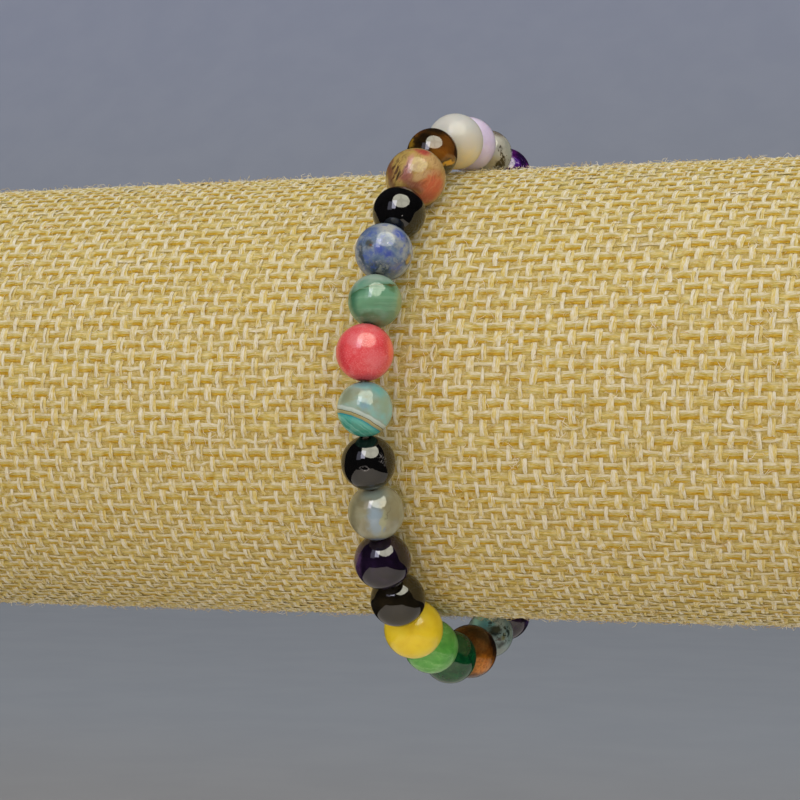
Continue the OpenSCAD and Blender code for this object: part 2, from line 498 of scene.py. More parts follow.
cover = Pattern("burlap_ground")
ground = cover.noise(2600.0, detail=5.0, rough=0.7)
ground_tone = cover.ramp(ground, (0.3, "#a08a40"), (0.48, "#bfab62"), (0.7, "#dccf9e"))
cover.bump(ground, 0.00015)
cover.finished(base_color=ground_tone, roughness=0.9, specular_ior_level=0.1)
sheet_along = np.linspace(-reach, reach, sleeve_rows)[:, None]
sheet_angle = np.linspace(0, 2 * pi, sleeve_columns, endpoint=False)[None, :]
# The corners of the cloth's faces are taken backwards, so that they face out.
burlap_sheet = surface("burlap_sleeve", on_sleeve(sheet_along, sheet_angle, -under_weave)[0],
                       grid_faces(sleeve_rows, sleeve_columns, round_columns=True)[:, ::-1], cover.material)

round_radius = sheet_radius - bend + 0.0004
round_hem = 0.0008
round_rows = 25
edge_drop = 0.00024
edge_reach = 0.0011
steps_per_pair = 3


def on_round(side, turn, right, up, lift):
    """Points of the round on one end: right and up in its plane, turned, and let down towards its edge by the
    square of the way into the edge's reach."""
    away = np.hypot(right, up)
    down = edge_drop * np.clip((away - round_radius + edge_reach) / edge_reach, 0, 1) ** 2
    x = side * (roll_half - weave_top + lift - down)
    y = side * (right * np.cos(turn) - up * np.sin(turn))
    z = right * np.sin(turn) + up * np.cos(turn)
    return together(x, y, z)


def chords(label, side, turn, upright, pitch, crossing, rise, yarn_plies):
    """Straight yarns across the round, each as long as its chord, over and under those that cross it, as a
    sine wave goes."""
    count = int(2 * (round_radius - round_hem) / pitch)
    steps = int(round_radius / crossing * steps_per_pair)
    number = np.arange(count)[:, None]
    offset = (number - (count - 1) / 2) * pitch
    run = np.linspace(-1, 1, steps)[None, :] * np.sqrt(round_radius ** 2 - offset ** 2)
    phase = pi * run / crossing + pi * (number + (0 if upright else 1))
    swap = swapping(phase.shape, waves=14, lean=1.0)
    pieces = []
    for kind, material, width, shift, layer in yarn_plies:
        shifted = offset + shift * swap + drift(phase.shape, waves=20, size=0.00005)
        right, up = (shifted, run) if upright else (run, shifted)
        middle = on_round(side, turn, right, up, rise * np.cos(phase) + lapped(layer, swap))
        outward = np.broadcast_to([side, 0.0, 0.0], middle.shape)
        half_width = uneven(width, phase.shape, waves=30, share=0.18, most=0.4)
        pieces.append(plies(f"end_{kind}_{label}", middle, outward, half_width, material))
    return pieces


end_step = np.linspace(-1, 1, round_rows)
end_right = round_radius * end_step[:, None] * np.sqrt(1 - end_step[None, :] ** 2 / 2)
end_up = round_radius * end_step[None, :] * np.sqrt(1 - end_step[:, None] ** 2 / 2)
for label, side, turn in (("left", -1.0, radians(17)), ("right", 1.0, radians(-11))):
    end_sheet = surface("end_round_" + label, on_round(side, turn, end_right, end_up, -under_weave),
                        grid_faces(round_rows, round_rows)[:, ::-1], cover.material)
    broad = chords(label, side, turn, False, long_pitch, hoop_pitch, long_rise, long_plies)
    narrow = chords(label, side, turn, True, hoop_pitch, long_pitch, hoop_rise, hoop_plies)
    cloth += [end_sheet] + broad + narrow

hair = Pattern("stray_fibre")
hair_tone = hair.ramp(hair.noise(300.0), (0.35, "#cfa850"), (0.5, "#dccb90"), (0.6, "#f2ecd8"))
hair.finished(base_color=hair_tone, roughness=0.6, specular_ior_level=0.3)
hair_points = 3
hair_curl = 1.1
hair_off = 0.0001


def hairs(name, count, shortest, longest, highest, radius):
    """Loose fibres all over the sleeve. Each starts anywhere, curls as its bearing turns, rises off the cloth
    and falls back a little, as half a sine wave does, and thins towards its tip."""
    t = np.linspace(0, 1, hair_points)[None, :]
    along = draw.uniform(-straight - arc, straight + arc, (count, 1))
    angle = draw.uniform(0, 2 * pi, (count, 1))
    bearing = draw.uniform(0, 2 * pi, (count, 1)) + draw.normal(0, hair_curl, (count, 1)) * t
    length = draw.uniform(shortest, longest, (count, 1))
    stand = draw.uniform(0.1, 1, (count, 1)) * draw.uniform(0.2, 1, (count, 1)) * highest
    falls_back = draw.uniform(0.5, 1.0, (count, 1))
    hair_along = along + np.cumsum(np.cos(bearing), 1) * length / hair_points
    hair_angle = angle + np.cumsum(np.sin(bearing), 1) * length / hair_points / sheet_radius
    middle, out = on_sleeve(hair_along, hair_angle, hair_off + stand * np.sin(pi * t * falls_back))
    thinning = radius * (1.15 - t ** 2) * np.ones_like(middle[..., 0])
    return plies(name, middle, out, thinning, hair.material, half_thick=radius)


cloth.append(hairs("stray_fibres", 12600, shortest=0.0006, longest=0.0026, highest=0.0008,
                   radius=0.000026))
cloth.append(hairs("fuzz", 5800, shortest=0.0004, longest=0.0012, highest=0.0006, radius=0.000024))

for piece in [burlap_sheet] + cloth:
    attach(piece, "root")
    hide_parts("display_roll")


# The elastic cord is one clear, slightly milky stretch cord through all the bores, knotted out of sight.
# It shows only as a glint between the beads.

cord = Pattern("clear_elastic")
strand = cord.noise(2500.0, detail=2.0)
cord.bump(strand, 0.00002)
cord.finished(base_color=cord.ramp(strand, (0.3, "#aaa89e"), (0.7, "#c6c4bc")), roughness=0.2,
              transmission_weight=0.7)
cord_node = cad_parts["elastic_cord"]
cord_node.data.materials.clear()
cord_node.data.materials.append(cord.material)


# The beads are round stones, drilled through and polished, strung in the order of their numbers. Each is
# turned round its bore's line: a sphere, the hole's eased rims, and the bore's wall.

bore_radius = 0.0005
bore_ease = 0.00004
bead_rows = 32
bead_columns = 48
bead_growth = 0.00008
view_turn = Euler(camera_turn).to_matrix()
bead_nodes = sorted(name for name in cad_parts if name.startswith("bead_"))
bead_boxes = np.array([[*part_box(name)] for name in bead_nodes])
centres = bead_boxes.mean(1)
radii = (bead_boxes[:, 1, 0] - bead_boxes[:, 0, 0]) / 2 + bead_growth


def bore_ends():
    """Where the cord bends between each bead and the next: on the line between them, split by their sizes,
    and pushed outwards to where the tangents of the ring meet."""
    after = np.roll(centres, -1, 0)
    size = np.roll(radii, -1)
    split = (radii / (radii + size))[:, None]
    apart = norm(after - centres, axis=1, keepdims=True)
    spot = centres + (after - centres) * split
    out = spot - centres.mean(0)
    ring = norm(centres - centres.mean(0), axis=1).mean()
    half_turn = np.arcsin(apart / (2 * ring))
    out[:, 0] = 0
    return spot + out / norm(out, axis=1, keepdims=True) * apart / 2 * np.tan(half_turn)


def drilled(centre, radius, start, end, flats=()):
    """A drilled stone. Rows of circles run over the sphere from one rim of the bore to the other and back
    through it, and slide from the stone's middle to the bore's line as they near a rim. A flat presses the
    surface down to a plane, with a soft edge."""
    line = (end - start) / norm(end - start)
    offset = start - centre - line * np.dot(start - centre, line)
    side = np.cross(line, [0.0, 0.0, 1.0])
    side /= norm(side)
    other = np.cross(line, side)
    rim = np.arcsin((bore_radius + bore_ease) / radius)
    polar = np.linspace(rim, pi - rim, bead_rows)[:, None]
    turn = np.linspace(0, 2 * pi, bead_columns, endpoint=False)[None, :]
    slide = np.cos(polar) ** 4
    a = radius * np.sin(polar) * np.cos(turn) + np.dot(offset, side) * slide
    b = radius * np.sin(polar) * np.sin(turn) + np.dot(offset, other) * slide
    c = np.sign(np.cos(polar)) * np.sqrt(np.maximum(radius ** 2 - a ** 2 - b ** 2, 0))
    outer = together(a, b, c)
    for facing, depth, crisp in flats:
        facing = np.array(view_turn @ Vector(facing).normalized())
        facing = np.array([facing @ side, facing @ other, facing @ line])
        reached = outer @ facing / radius
        pressed = -np.logaddexp(-crisp * reached, -crisp * (1 - depth)) / crisp
        outer = outer + (pressed - reached)[..., None] * facing * radius
    hole = together(np.cos(turn) * bore_radius + np.dot(offset, side),
                    np.sin(turn) * bore_radius + np.dot(offset, other), 0 * turn)
    wall = []
    for row, eases_in in ((-1, 1), (-1, 4), (0, -4), (0, -1)):
        ring = hole.copy()
        ring[..., 2] = outer[row, :, 2].mean() + eases_in * bore_ease
        wall.append(ring)
    grid = np.concatenate([outer, *wall])
    points = centre + grid[..., :1] * side + grid[..., 1:2] * other + grid[..., 2:] * line
    faces = grid_faces(len(grid), bead_columns, round_rows=True, round_columns=True)
    return points, faces[:, ::-1]


class Stone(Pattern):
    """A stone's pattern, laid out as the viewer faces it: right, up and near, in radii from the middle."""

    def __init__(self, name, centre, radius, turn):
        super().__init__(name)
        facing = (view_turn @ Euler([radians(t) for t in turn]).to_matrix()).to_euler()
        self.place = self.moved(at=centre, turn=facing, size=(radius,) * 3)
        swirl = self.add("TexNoise", [("Vector", self.place), ("Scale", 3.5), ("Detail", 3.0)]).outputs[1]
        plugs = [(0, swirl), (1, (-0.5, -0.5, -0.5))]
        self.shift = self.add("VectorMath", plugs, operation="ADD").outputs[0]
        self.uneven = self.nudged(0.35)

    def nudged(self, amount):
        """The place, pushed about by the swirl."""
        plugs = [(0, self.shift), (1, (amount,) * 3), (2, self.place)]
        return self.add("VectorMath", plugs, operation="MULTIPLY_ADD").outputs[0]

    def patch(self, right, up, wide, high, turn=0, soft=0.4):
        """1 inside an oval patch and 0 outside, with an uneven edge."""
        near = (1 - min(right ** 2 + up ** 2, 1)) ** 0.5
        size = (wide, high, (wide + high) / 2)
        there = self.moved((right, up, near), (0, 0, radians(turn)), size, self.uneven)
        away = self.add("VectorMath", [(0, there)], operation="LENGTH").outputs[1]
        return self.stretch(away, 1 + soft, 1 - soft)

    def patches(self, colour, rows):
        """Lays patches over the colour in turn: right, up, width, height, turn, softness, strength, shade."""
        for right, up, wide, high, turn, soft, strength, shade in rows:
            share = self.math("MULTIPLY", self.patch(right, up, wide, high, turn, soft), strength)
            colour = self.mix(share, colour, shade)
        return colour

    def clouds(self, scale, *stops):
        return self.ramp(self.noise(scale, 4.0, 0.55, 0.4), *stops)

    def streaks(self, turn, size, detail=3.0):
        """Noise drawn out along a direction of the view."""
        place = self.moved(turn=(0, 0, radians(turn)), size=size, place=self.uneven)
        return self.noise(1.0, detail, 0.6, 0.3, place)

    def rings(self, right, up, uneven):
        """Distance from a line through the view, for bands that bend about it."""
        flat = self.moved((right, up, 0), size=(1, 1, 6), place=self.nudged(uneven))
        return self.add("VectorMath", [(0, flat)], operation="LENGTH").outputs[1]

    def specks(self, scale, size, soft=0.3):
        """Small irregular dots, one in most cells of a random net."""
        plugs = [("Vector", self.uneven), ("Scale", scale)]
        dots = self.add("TexVoronoi", plugs).outputs["Distance"]
        return self.stretch(dots, size * (1 + soft), size * (1 - soft))

    def waxy(self, colour, polish=1.0, depth=0.3, soft=0.09):
        """Fine-grained jade: light goes in and comes out nearby, under a thin polish, a little soft."""
        self.bump(self.noise(26.0, 3.0), 0.000004)
        return self.finished(base_color=colour, roughness=0.5, subsurface_weight=depth,
                             subsurface_radius=(1, 0.7, 0.5), subsurface_scale=0.0012,
                             specular_ior_level=0.2, coat_weight=polish, coat_roughness=soft)

    def glassy(self, colour, roughness=0.05, depth=0.0, shine=0.8):
        """Hard polished stone: a mirror gloss with faint polishing unevenness."""
        self.bump(self.noise(5.0, 2.0), 0.000008)
        return self.finished(base_color=colour, roughness=roughness, subsurface_weight=depth,
                             subsurface_radius=(1, 0.9, 0.8), subsurface_scale=0.0015,
                             specular_ior_level=shine)


# The stones. Their patches are laid out as each stone is seen from the front.

def amethyst(s):
    colour = s.clouds(2.2, (0.35, "#200627"), (0.5, "#3d0d49"), (0.62, "#5c186b"), (0.75, "#80368a"))
    colour = s.patches(colour, [
        (0.62, 0.50, 0.34, 0.26, -30, 0.5, 0.85, "#1c0a38"),
        (0.34, 0.36, 0.28, 0.18, -20, 0.5, 0.85, "#4e1a90"),
        (0.22, 0.20, 0.09, 0.08, 0, 0.5, 0.7, "#a58cc4"),
    ])
    flecks = s.math("MULTIPLY", s.patch(0.55, 0.22, 0.42, 0.16, -14, 0.4), s.specks(9.0, 0.30))
    flaws = s.stretch(s.streaks(35, (0.12, 0.9, 0.5)), 0.62, 0.74, 0, 0.7)
    return s.glassy(s.mix(s.math("MAXIMUM", flecks, flaws), colour, "#bfa4dc"), 0.05, 0.1)


def dusky_amethyst(s):
    colour = s.clouds(2.4, (0.35, "#1f1a23"), (0.5, "#2e2633"), (0.68, "#3d3341"))
    colour = s.patches(colour, [
        (0.30, 0.05, 0.55, 0.20, 0, 0.6, 0.9, "#28142e"),
        (0.90, -0.15, 0.12, 0.40, 12, 0.6, 0.8, "#392868"),
    ])
    blots = s.stretch(s.noise(6.0, 4.0), 0.54, 0.62, 0, 0.7)
    return s.glassy(s.mix(blots, colour, "#2a1735"), 0.06, 0.1)


def dendritic_agate(s):
    colour = s.clouds(1.6, (0.3, "#9a9e94"), (0.5, "#b5b5a8"), (0.7, "#c9c9bd"))
    colour = s.patches(colour, [
        # The brown-grey patch at the top is painted shadow.
        (0.36, 0.84, 0.34, 0.22, -30, 0.6, 0.85, "#73675a"),
        (0.20, -0.45, 0.40, 0.22, 20, 0.7, 0.7, "#b3a578"),
        (0.90, 0.00, 0.12, 0.50, 0, 0.7, 0.5, "#a9b0a4"),
    ])
    moss = s.noise(5.5, 4.0, 0.6, 0.5)
    branches = s.noise(8.0, 4.0, 0.65, 0.5)
    elsewhere = s.math("MULTIPLY", s.stretch(moss, 0.56, 0.62), s.stretch(s.noise(1.5, 1.0), 0.46, 0.56))
    bush = s.math("MAXIMUM", s.patch(0.54, -0.22, 0.10, 0.34, 4, 0.3),
                  s.patch(0.52, -0.48, 0.30, 0.22, -8, 0.3))
    share = s.math("MAXIMUM", elsewhere, s.math("MULTIPLY", bush, s.stretch(branches, 0.38, 0.44)))
    colour = s.mix(share, colour, "#41351b")
    share = s.math("MULTIPLY", s.patch(0.42, -0.62, 0.32, 0.10, -6, 0.4), s.stretch(branches, 0.45, 0.53))
    colour = s.mix(share, colour, "#1a1108")
    return s.glassy(s.patches(colour, [(0.45, 0.20, 0.06, 0.08, 0, 0.5, 0.9, "#2e1d10")]), 0.08, 0.3)


def teal_dendritic_agate(s):
    colour = s.clouds(1.8, (0.3, "#6e8c8e"), (0.5, "#88a2a4"), (0.7, "#a8baba"))
    colour = s.patches(colour, [
        (-0.50, 0.62, 0.40, 0.30, 0, 0.6, 1.0, "#b6fcfc"),
        (-0.20, 0.48, 0.32, 0.22, -10, 0.7, 0.85, "#66bcd0"),
        (0.86, 0.18, 0.10, 0.44, 10, 0.6, 0.8, "#93a69a"),
        (0.30, -0.72, 0.50, 0.22, 0, 0.7, 0.6, "#8a9088"),
        (0.20, 0.22, 0.24, 0.20, 20, 0.4, 0.95, "#1c2a28"),
        (0.46, -0.36, 0.22, 0.17, 0, 0.5, 0.9, "#2c3834"),
        (0.56, -0.05, 0.16, 0.09, 30, 0.4, 0.85, "#7a7a48"),
        (0.36, -0.12, 0.08, 0.07, 0, 0.4, 0.8, "#402418"),
        (0.74, 0.16, 0.08, 0.12, 10, 0.4, 0.9, "#1f2d2a"),
        (0.62, 0.36, 0.09, 0.06, -20, 0.4, 0.8, "#2b3b38"),
    ])
    moss = s.stretch(s.noise(7.0, 5.0, 0.65, 0.8), 0.54, 0.60)
    colour = s.mix(s.math("MULTIPLY", moss, s.patch(0.35, 0.20, 0.75, 0.60, 0, 0.5)), colour, "#2c3a36")
    return s.glassy(colour, 0.08, 0.2)


def lilac_jade(s):
    return s.waxy(s.clouds(1.5, (0.3, "#d3c5e2"), (0.5, "#dbcfea"), (0.7, "#e2d9f0")), 0.9, 0.5)


def white_jade(s):
    # Towards its lower side the bead is painted warmer and lighter, tan-yellow: painted light thrown up from
    # the burlap under it. Towards its top it is greyer.
    level = s.add("SeparateXYZ", [(0, s.uneven)]).outputs[1]
    colour = s.ramp(s.stretch(level, -0.9, 0.6), (0.0, "#ead8a2"), (0.45, "#d2ccb8"), (1.0, "#c4c7c2"))
    cloud = s.stretch(s.noise(2.2, 4.0), 0.4, 0.65, 0, 0.3)
    return s.waxy(s.mix(cloud, colour, "#d2d1c8"), 0.42, 0.5, 0.07)


def tiger_eye(s):
    # The bright bands, the orange band just under the lamp's highlight and the bright gold wedge low on the
    # right are partly the stone's own colour and partly its silky sheen, painted in as colour.
    fibre = s.streaks(-30, (0.9, 0.08, 0.5))
    band = s.rings(1.6, 2.6, 0.25)
    colour = s.ramp(s.stretch(band, 1.6, 4.2), (0.1, "#1c1408"), (0.32, "#4b2f0f"), (0.45, "#5f3b13"),
                    (0.52, "#7c5218"), (0.57, "#47310f"), (0.75, "#241a0a"), (0.9, "#4c3c12"))
    colour = s.patches(colour, [
        (-0.36, 0.50, 0.38, 0.42, 10, 0.5, 0.95, "#151007"),
        (-0.86, 0.40, 0.13, 0.48, 28, 0.5, 0.9, "#8c6e1e"),
        (0.05, 0.88, 0.55, 0.15, -15, 0.6, 0.9, "#241a09"),
        (0.60, 0.36, 0.30, 0.42, 0, 0.6, 0.85, "#6a4216"),
        (0.30, -0.10, 0.44, 0.20, 10, 0.6, 0.85, "#84541a"),
        (0.94, 0.10, 0.09, 0.50, -8, 0.5, 0.8, "#241709"),
        (0.70, -0.40, 0.44, 0.10, 12, 0.5, 0.95, "#d09a20"),
        (0.70, -0.66, 0.32, 0.18, 30, 0.5, 0.85, "#40340f"),
    ])
    colour = s.mix(s.stretch(fibre, 0.45, 0.7, 0, 0.4), colour, "#a8762a", "OVERLAY")
    return s.glassy(colour, 0.045)


def dark_tiger_eye(s):
    fibre = s.streaks(70, (0.9, 0.09, 0.5))
    grain = s.noise(12.0, 4.0)
    colour = s.clouds(1.6, (0.3, "#58360f"), (0.5, "#7a4c19"), (0.7, "#9e6825"))
    colour = s.patches(colour, [
        (0.34, 0.72, 0.62, 0.28, -26, 0.6, 0.9, "#3d2b13"),
        (0.90, 0.26, 0.18, 0.60, 10, 0.6, 0.95, "#0f0a04"),
        (0.34, 0.14, 0.30, 0.30, 0, 0.7, 0.7, "#764e1f"),
        # The bright orange low in the middle is partly the stone's own colour and partly its silky sheen,
        # painted in as colour.
        (0.36, -0.30, 0.36, 0.20, 8, 0.6, 0.85, "#ca7f25"),
        (0.50, -0.56, 0.42, 0.26, 8, 0.6, 0.9, "#d38a3a"),
        (0.10, -0.90, 0.50, 0.12, 0, 0.6, 0.8, "#4e3019"),
    ])
    colour = s.mix(s.stretch(grain, 0.46, 0.62, 0, 0.35), colour, "#2c1c0c")
    return s.glassy(s.mix(s.stretch(fibre, 0.45, 0.7, 0, 0.35), colour, "#b07f2b", "OVERLAY"), 0.08, 0, 0.45)


def jasper(s):
    veins = s.streaks(58, (0.9, 0.09, 0.5))
    fine = s.streaks(58, (0.5, 0.05, 0.3), detail=4.0)
    colour = s.clouds(1.8, (0.3, "#856329"), (0.45, "#a0863a"), (0.6, "#b29952"), (0.75, "#b2774c"))
    colour = s.patches(colour, [
        (-0.86, 0.30, 0.16, 0.50, 15, 0.6, 0.85, "#7c4630"),
        (-0.50, 0.44, 0.34, 0.36, 0, 0.5, 0.9, "#a8914a"),
        (0.62, 0.52, 0.42, 0.32, -25, 0.6, 0.9, "#c09e66"),
        (0.60, -0.34, 0.52, 0.46, -10, 0.6, 0.95, "#bf5a3c"),
        (0.34, -0.72, 0.40, 0.24, -18, 0.5, 0.9, "#b0553c"),
        (0.26, 0.82, 0.28, 0.17, 8, 0.6, 0.9, "#ab2a2e"),
        (-0.12, 0.80, 0.09, 0.24, -10, 0.5, 0.8, "#b0943e"),
        (-0.22, 0.40, 0.10, 0.46, -20, 0.6, 0.85, "#b4787a"),
        (-0.30, -0.04, 0.22, 0.22, -20, 0.6, 0.85, "#92524e"),
        (-0.06, -0.34, 0.30, 0.20, 10, 0.6, 0.85, "#82443a"),
        (0.26, 0.02, 0.36, 0.10, 20, 0.6, 0.85, "#b89c6c"),
        (0.66, 0.12, 0.30, 0.08, 24, 0.6, 0.6, "#b98a5e"),
        (-0.80, -0.25, 0.12, 0.30, 20, 0.6, 0.85, "#6c4a30"),
    ])
    dark = s.math("MULTIPLY", s.patch(-0.60, 0.22, 0.30, 0.50, -30, 0.4), s.stretch(veins, 0.47, 0.55))
    colour = s.mix(dark, colour, "#4a2a14")
    colour = s.mix(s.stretch(fine, 0.54, 0.64, 0, 0.4), colour, "#7a4a2e")
    colour = s.mix(s.stretch(fine, 0.46, 0.36, 0, 0.16), colour, "#d0b078")
    colour = s.patches(colour, [(-0.58, 0.02, 0.055, 0.17, -8, 0.5, 0.9, "#2a1608")])
    return s.waxy(colour, 0.72, 0.1)


def onyx(s):
    colour = s.clouds(2.0, (0.35, "#060606"), (0.7, "#0d0d0e"))
    # The small white dot a little right of and below the middle is a painted highlight: the glint of a small
    # lamp.
    return s.glassy(s.patches(colour, [(0.14, -0.16, 0.03, 0.03, 0, 0.4, 0.9, "#e0e0e0")]), 0.03)


def pitted_onyx(s):
    """The polish has missed a few pits. Their rough rims and a few chips are painted grey: painted light that
    the rough stone catches.
    """
    rough = s.noise(16.0, 4.0)
    pit = s.patch(-0.11, -0.165, 0.14, 0.075, 8, 0.3)
    rim = s.math("SUBTRACT", s.patch(-0.10, -0.19, 0.19, 0.115, 8, 0.25), pit)
    chips = s.math("MULTIPLY", s.patch(0.53, 0.13, 0.14, 0.22, 30, 0.4), s.stretch(rough, 0.52, 0.58))
    marks = s.math("MAXIMUM", s.math("MULTIPLY", rim, s.stretch(rough, 0.40, 0.55)), chips)
    return s.glassy(s.mix(s.math("MULTIPLY", marks, 0.8), "#080808", "#8a8a8c"), 0.03)


def sodalite(s):
    grains = s.noise(10.0, 5.0, 0.65)
    colour = s.clouds(1.7, (0.32, "#3c5078"), (0.46, "#5c7492"), (0.58, "#8192a2"), (0.72, "#a2a8a4"))
    colour = s.patches(colour, [
        (0.18, 0.78, 0.42, 0.22, -8, 0.6, 0.9, "#b0b4ac"),
        (0.54, 0.56, 0.18, 0.27, 25, 0.6, 0.9, "#3250b2"),
        (-0.46, 0.66, 0.34, 0.20, 32, 0.7, 0.8, "#4c6596"),
        (-0.13, 0.04, 0.17, 0.13, 0, 0.6, 0.85, "#3348a8"),
        (0.20, -0.12, 0.15, 0.13, 0, 0.6, 0.85, "#3345a2"),
        (-0.52, -0.12, 0.24, 0.18, 20, 0.7, 0.7, "#46659c"),
        (0.60, 0.00, 0.12, 0.12, 0, 0.6, 0.6, "#56689c"),
        (0.64, 0.20, 0.28, 0.20, 0, 0.6, 0.85, "#98a09a"),
        (-0.76, -0.16, 0.09, 0.38, 10, 0.6, 0.85, "#333f46"),
        # The dark slate across the lower third is partly the stone's own colour and partly a painted
        # reflection of the next bead, which sits close below it.
        (-0.10, -0.64, 0.58, 0.24, -6, 0.7, 0.9, "#2c3844"),
        (0.46, -0.58, 0.26, 0.20, -30, 0.7, 0.6, "#6b6c82"),
        (-0.49, 0.22, 0.16, 0.18, 30, 0.5, 0.9, "#40463a"),
        (0.84, -0.29, 0.17, 0.22, 12, 0.4, 0.95, "#3c331e"),
        (0.85, -0.27, 0.12, 0.16, 12, 0.4, 0.95, "#aa8e3a"),
        (-0.44, 0.17, 0.045, 0.045, 0, 0.5, 0.9, "#6a3a12"),
        # The three small near-white dots are painted highlights: glints of a small lamp.
        (-0.33, 0.14, 0.045, 0.035, 0, 0.4, 1.0, "#eef0f4"),
        (-0.12, 0.135, 0.035, 0.03, 0, 0.4, 1.0, "#f4f6fa"),
        (0.18, 0.29, 0.03, 0.02, 0, 0.4, 1.0, "#ffffff"),
    ])
    blots = s.noise(3.4, 4.0, 0.55, 0.4)
    colour = s.mix(s.stretch(blots, 0.55, 0.64, 0, 0.55), colour, "#3a55aa")
    colour = s.mix(s.stretch(blots, 0.45, 0.36, 0, 0.42), colour, "#a3a79e")
    colour = s.mix(s.stretch(grains, 0.53, 0.66, 0, 0.28), colour, "#34469a")
    colour = s.mix(s.stretch(grains, 0.46, 0.32, 0, 0.18), colour, "#a9aca0")
    return s.waxy(colour, 1.0, 0.1, 0.07)


def green_agate(s):
    far = s.rings(0.336, -1.425, 0.12)
    fine = s.noise(1.0, 2.0, 0.5, 0.2, s.moved(size=(1.6, 0.09, 1.6), place=s.nudged(0.12)))
    colour = s.ramp(s.stretch(far, 1.0, 2.6), (0.0, "#668c70"), (0.3, "#6e9f7e"), (0.5, "#6b9d80"),
                    (0.62, "#5a8a6e"), (0.69, "#417354"), (0.712, "#565c32"), (0.732, "#64907a"),
                    (0.80, "#82a08e"), (0.92, "#96aa9c"))
    colour = s.mix(s.stretch(fine, 0.50, 0.66, 0, 0.45), colour, "#82ac92")
    colour = s.patches(colour, [
        (-0.84, 0.05, 0.20, 0.60, 10, 0.7, 0.7, "#2f6246"),
        (-0.46, 0.64, 0.26, 0.14, 25, 0.7, 0.6, "#4f8e78"),
        (0.60, 0.56, 0.34, 0.035, -2, 0.5, 0.9, "#5c4e20"),
        (0.66, 0.44, 0.26, 0.10, -8, 0.7, 0.6, "#56703e"),
        # The khaki-green down the right rim is partly the stone's own colour and partly painted light: the
        # burlap's yellow seen through the stone's edge.
        (0.92, -0.06, 0.16, 0.55, -8, 0.7, 0.75, "#8d9866"),
        (-0.02, -0.32, 0.50, 0.14, 0, 0.7, 0.6, "#69a282"),
        (-0.24, -0.54, 0.40, 0.12, 6, 0.7, 0.7, "#40724e"),
        (0.10, -0.90, 0.50, 0.14, 0, 0.7, 0.6, "#6f7c50"),
    ])
    return s.glassy(colour, 0.05, 0.3, 0.6)


def red_jade(s):
    colour = s.clouds(1.9, (0.3, "#c82832"), (0.45, "#d93a43"), (0.6, "#df4e56"), (0.75, "#e26e74"))
    colour = s.patches(colour, [
        (0.42, -0.30, 0.46, 0.32, -20, 0.7, 0.6, "#e2787e"),
        # The pinker patch up on the left is partly the stone's own mottling and partly a painted reflection
        # of the window.
        (-0.30, 0.42, 0.30, 0.26, 20, 0.7, 0.5, "#e08088"),
        (0.90, 0.12, 0.12, 0.50, 0, 0.7, 0.8, "#ea6242"),
        (-0.80, -0.10, 0.16, 0.42, 10, 0.7, 0.7, "#c42832"),
        (0.00, -0.90, 0.45, 0.14, 0, 0.7, 0.7, "#b62e3c"),
    ])
    grain = s.stretch(s.noise(22.0, 3.0), 0.45, 0.65, 0, 0.24)
    return s.waxy(s.mix(grain, colour, "#e8a2a6"), 0.85)


def teal_agate(s):
    far = s.rings(-1.34, -2.955, 0.08)
    colour = s.ramp(s.stretch(far, 2.4, 3.4), (0.10, "#4a9484"), (0.25, "#5cb0a4"), (0.38, "#4ca2a0"),
                    (0.405, "#1f8a9c"), (0.440, "#2090a2"), (0.452, "#8f9064"), (0.602, "#a9a377"),
                    (0.612, "#5a5430"), (0.634, "#5a5430"), (0.648, "#a3b5ab"), (0.800, "#bccdc8"),
                    (0.850, "#93a8a0"), (0.95, "#8f9e90"))
    upper = s.stretch(far, 3.12, 3.19)
    cloud = s.clouds(1.3, (0.35, "#939e86"), (0.5, "#93aea2"), (0.65, "#88bcb8"))
    colour = s.mix(upper, colour, cloud)
    drawn_out = s.moved(turn=(0, 0, radians(-38)), size=(1.5, 0.07, 1.5), place=s.nudged(0.1))
    lines = s.noise(1.0, 2.0, 0.5, 0.1, drawn_out)
    lower = s.stretch(far, 2.81, 2.76)
    colour = s.mix(s.math("MULTIPLY", lower, s.stretch(lines, 0.5, 0.66, 0, 0.6)), colour, "#80c4b8")
    colour = s.mix(s.math("MULTIPLY", lower, s.stretch(lines, 0.44, 0.34, 0, 0.6)), colour, "#2f8f88")
    colour = s.patches(colour, [
        (-0.66, 0.50, 0.26, 0.30, 0, 0.7, 0.8, "#7f8a70"),
        (0.00, 0.88, 0.30, 0.14, 0, 0.7, 0.7, "#6a9ea6"),
        (0.52, 0.70, 0.34, 0.24, -35, 0.7, 0.8, "#60aeac"),
        (0.02, 0.14, 0.18, 0.16, 0, 0.7, 0.6, "#78a2bc"),
        (0.70, 0.20, 0.22, 0.34, 0, 0.7, 0.7, "#8aa58c"),
        (-0.86, -0.50, 0.08, 0.30, 30, 0.6, 0.7, "#6f9c6c"),
    ])
    return s.glassy(colour, 0.05, 0.3, 0.48)


